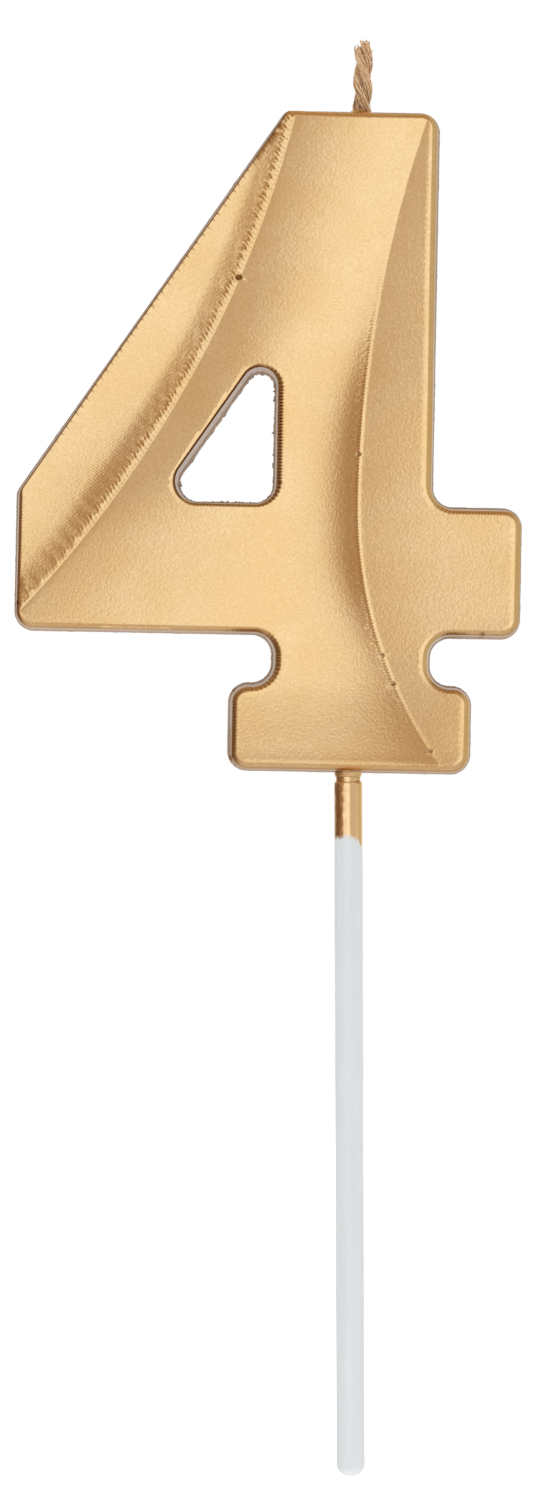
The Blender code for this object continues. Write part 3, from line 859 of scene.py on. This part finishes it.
def edge_teeth(g, place):
    """Short ragged teeth where the cutter broke out along the diagonal's outer edge, painted dark as
    the shade in the torn notches; the notches themselves are not modelled.
    """
    run = math.hypot(1.0, DIAGONAL_RUN)
    outward = (-1.0 / run, 0.0, DIAGONAL_RUN / run)
    offset = (HEIGHT * DIAGONAL_RUN - TOP_LEFT) / run
    depth = g.math("SUBTRACT", offset, g.vector("DOT_PRODUCT", place, outward))
    along = g.vector("DOT_PRODUCT", place, (DIAGONAL_RUN / run, 0.0, 1.0 / run))
    shifted = g.math("MULTIPLY_ADD", g.noise(place, 0.7, 1.0), 0.9, along)
    phase = g.math("FRACT", g.math("DIVIDE", shifted, TOOTH_PITCH))
    width = g.math("MULTIPLY_ADD", g.math("SUBTRACT", depth, 0.52), -0.62, 0.34)
    tooth = g.ramp(g.math("SUBTRACT", width, phase), 0.0, 0.05)
    high = g.ramp(g.node("ShaderNodeSeparateXYZ", {0: place}).outputs[2], 31.0, 36.0)
    return g.math("MULTIPLY", tooth, high)


def gold_paint():
    """Sprayed gold: fine grain and broad clouds, painted shade in the relief's cuts and along bevel
    feet, dark knocks on the edges, and a paler, greyer, less metallic colour on the sides.
    """
    material, g, shader = new_material("gold_paint")
    place = g.place()
    cloud = g.noise(place, 0.16, 3.0)
    grain = g.noise(place, 3.4, 2.0, 0.55)
    on_side = g.value("on_side")
    teeth = g.math("MULTIPLY", edge_teeth(g, place), g.math("MULTIPLY_ADD", on_side, -0.6, 0.6))
    shade = g.math("MAXIMUM", g.value("shade"), teeth)
    colour = g.mix(g.ramp(cloud, 0.35, 0.65), GOLD_PALE, GOLD_DEEP)
    sand = g.ramp(g.noise(place, 5.0, 1.0), 0.30, 0.70)
    colour = g.mix(sand, g.vector("MULTIPLY", colour, (0.90, 0.89, 0.86)), colour)
    colour = g.mix(g.ramp(grain, 0.62, 0.36, 0.0, 0.35), colour, GOLD_SPECK)
    colour = g.mix(g.math("MULTIPLY", on_side, 0.95), colour, GOLD_SIDE)
    # Painted shade, with the dark knocks and the edge teeth, mixes the colour towards GOLD_DARK.
    colour = g.mix(shade, colour, GOLD_DARK)
    g.put(shader.inputs["Base Color"], colour)
    g.put(shader.inputs["Metallic"], g.math("MULTIPLY_ADD", on_side, -0.65, 1.0))
    g.put(shader.inputs["Roughness"], g.math("MULTIPLY_ADD", grain, 0.08, 0.20))
    even = g.math("MULTIPLY", g.value("along"), 2.0 * math.pi / LINE_PITCH)
    broken = g.math("MULTIPLY_ADD", g.noise(place, 1.1, 2.0), 4.5, even)
    lines = g.math("MULTIPLY", g.math("SINE", broken), g.value("lines"))
    fine = g.bump(grain, 0.022 * MM)
    g.put(shader.inputs["Normal"], g.bump(lines, LINE_RISE * MM, fine))
    return material


def cotton():
    """Waxed cotton, each fibre its own tone, with painted highlights streaked along it."""
    material, g, shader = new_material("wick_cotton")
    place = g.place()
    streak = g.noise(g.vector("MULTIPLY", place, (6.0, 6.0, 1.2)), 1.0, 3.0)
    colour = g.mix(g.value("tint"), COTTON_PALE, COTTON_DEEP)
    # Painted highlights: pale streaks along the fibres.
    colour = g.mix(g.ramp(streak, 0.45, 0.7, 0.0, 0.6), colour, COTTON_HIGHLIGHT)
    g.put(shader.inputs["Base Color"], colour)
    shader.inputs["Roughness"].default_value = 0.38
    shader.inputs["Specular IOR Level"].default_value = 0.9
    g.put(shader.inputs["Normal"], g.bump(g.noise(place, 14.0, 2.0), 0.03 * MM))
    return material


def plastic():
    """White plastic with the gold overspray at its neck."""
    material, g, shader = new_material("white_plastic")
    place = g.place()
    separate = g.node("ShaderNodeSeparateXYZ", {0: place})
    across, up = separate.outputs[0], separate.outputs[2]
    ragged = g.math("MULTIPLY_ADD", g.noise(place, 1.2, 3.0, 0.55), 0.9, up)
    bowed = g.math("MULTIPLY_ADD", g.math("MULTIPLY", across, across), 0.14, ragged)
    edge = g.math("ADD", bowed, g.ramp(across, 1.15, 1.42, 0.0, 0.6))
    gold = g.ramp(edge, -6.60, -5.95)
    mottle = g.ramp(g.noise(g.vector("MULTIPLY", place, (1.3, 1.3, 0.6)), 1.6, 3.0, 0.6), 0.38, 0.60)
    mottle = g.math("MULTIPLY", mottle, g.ramp(across, 0.1, -0.6, 0.1, 0.65))
    tone = g.mix(mottle, GOLD_PALE, GOLD_MOTTLE)
    # Painted shade under the wax and in the neck's groove.
    tone = g.mix(g.value("shade"), tone, GOLD_DARK)
    cloud = g.noise(g.vector("MULTIPLY", place, (1.0, 1.0, 0.15)), 0.9, 3.0)
    white = g.mix(cloud, PLASTIC_DEEP, PLASTIC_PALE)
    g.put(shader.inputs["Base Color"], g.mix(gold, white, tone))
    g.put(shader.inputs["Metallic"], gold)
    g.put(shader.inputs["Roughness"], g.math("MULTIPLY_ADD", g.noise(place, 0.9, 2.0), 0.12, 0.16))
    pits = g.noise(place, 1.1, 3.0)
    runs = g.noise(place, 1.9, 2.0)
    curdled = g.math("MULTIPLY", g.math("MULTIPLY", runs, gold), g.ramp(across, 0.0, -0.7, 0.1, 1.0))
    g.put(shader.inputs["Normal"], g.bump(curdled, 0.09 * MM, g.bump(pits, 0.02 * MM)))
    return material


def pale_floor():
    material, _, shader = new_material("pale_floor")
    shader.inputs["Base Color"].default_value = (0.93, 0.93, 0.93, 1.0)
    shader.inputs["Roughness"].default_value = 0.8
    shader.inputs["Emission Color"].default_value = (1.0, 1.0, 1.0, 1.0)
    shader.inputs["Emission Strength"].default_value = 0.55
    return material


# --- Studio ----------------------------------------------------------------------------------

CAMERA_PLACE = (-8.50 * MM, -500.0 * MM, 2.22 * MM)
CAMERA_ROLL = math.radians(1.1)
VIEW_HEIGHT = 159.1 * MM  # what the frame's height covers at the candle


def add_camera():
    data = bpy.data.cameras.new("camera")
    data.sensor_fit = "VERTICAL"
    data.angle_y = 2.0 * math.atan(0.5 * VIEW_HEIGHT / abs(CAMERA_PLACE[1]))
    data.clip_start, data.clip_end = 0.01, 10.0
    ob = bpy.data.objects.new("camera", data)
    c, s = math.cos(CAMERA_ROLL), math.sin(CAMERA_ROLL)
    turn = Matrix(((c, -s, 0.0), (0.0, 0.0, -1.0), (s, c, 0.0)))
    ob.matrix_world = Matrix.Translation(CAMERA_PLACE) @ turn.to_4x4()
    bpy.context.scene.collection.objects.link(ob)
    bpy.context.scene.camera = ob


# Soft lights of the studio: azimuth and elevation of the centre in degrees (azimuth 0 is in front,
# negative to the left), where it starts and ends to fade, how much it is stretched upwards, colour.
AMBIENT = (0.46, 0.33, 0.25)
SOFT_LIGHTS = (
    (-10.0, 7.0, 8.0, 28.0, 1.95, (0.60, 0.77, 0.99)),
    (45.0, 0.0, 10.0, 60.0, 1.3, (0.19, 0.25, 0.34)),
    (-110.0, 0.0, 15.0, 60.0, 1.3, (-0.26, -0.21, -0.17)),
    (112.0, 0.0, 12.0, 58.0, 1.3, (0.12, 0.19, 0.18)),
    (180.0, 0.0, 10.0, 65.0, 1.0, (0.36, 0.44, 0.50)),
    (0.0, 85.0, 10.0, 60.0, 1.0, (0.02, 0.0, -0.06)),
    (0.0, -85.0, 10.0, 60.0, 1.0, (0.21, 0.28, 0.38)),
)
FILL = (0.80, 0.82, 0.83)
FLOOR_R, FLOOR_DROP = 0.6, 0.2 * MM


def add_world():
    """Soft light all round. The camera sees it plain white, and matt surfaces an even fill."""
    world = bpy.data.worlds.new("studio")
    world.use_nodes = True
    bpy.context.scene.world = world
    g = Graph(world.node_tree)
    background = world.node_tree.nodes["Background"]
    toward = g.node("ShaderNodeTexCoord").outputs["Generated"]
    total = AMBIENT
    for azimuth, elevation, inner, outer, tall, colour in SOFT_LIGHTS:
        a, e = math.radians(azimuth), math.radians(elevation)
        level = math.cos(e)
        centre = Vector((math.sin(a) * level, -math.cos(a) * level, math.sin(e) / tall)).normalized()
        squeezed = g.vector("NORMALIZE", g.vector("MULTIPLY", toward, (1.0, 1.0, 1.0 / tall)))
        facing = g.vector("DOT_PRODUCT", squeezed, tuple(centre))
        lit = g.ramp(facing, math.cos(math.radians(outer)), math.cos(math.radians(inner)))
        total = g.vector("ADD", total, g.vector("SCALE", colour, lit))
    ray = g.node("ShaderNodeLightPath").outputs
    lit = g.mix(ray["Is Diffuse Ray"], total, (*FILL, 1.0))
    g.put(background.inputs["Color"], g.mix(ray["Is Camera Ray"], lit, (1.0, 1.0, 1.0, 1.0)))


def add_floor():
    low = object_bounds()[0]
    bm = bmesh.new()
    bmesh.ops.create_circle(bm, cap_ends=True, segments=96, radius=FLOOR_R)
    mesh = bpy.data.meshes.new("floor")
    bm.to_mesh(mesh)
    bm.free()
    mesh.materials.append(pale_floor())
    ob = bpy.data.objects.new("floor", mesh)
    ob.location = (0.0, 0.0, low.z - FLOOR_DROP)
    ob.visible_glossy = False
    bpy.context.scene.collection.objects.link(ob)


def main():
    bpy.context.scene.view_settings.view_transform = "Standard"
    body = body_mesh()
    body.materials.append(gold_paint())
    add_piece("wax_figure", body, "gold_wax", "number_body")
    thread = cotton()
    for index in range(PLIES):
        strand = strand_mesh(index)
        strand.materials.append(thread)
        add_piece(f"wick_strand_{index + 1}", strand, "wick_cotton", f"wick_ply_{index + 1}")
    pick = pick_mesh()
    pick.materials.append(plastic())
    add_piece("cake_pick", pick, "white_plastic", "pick")
    add_floor()
    add_camera()
    add_world()


main()
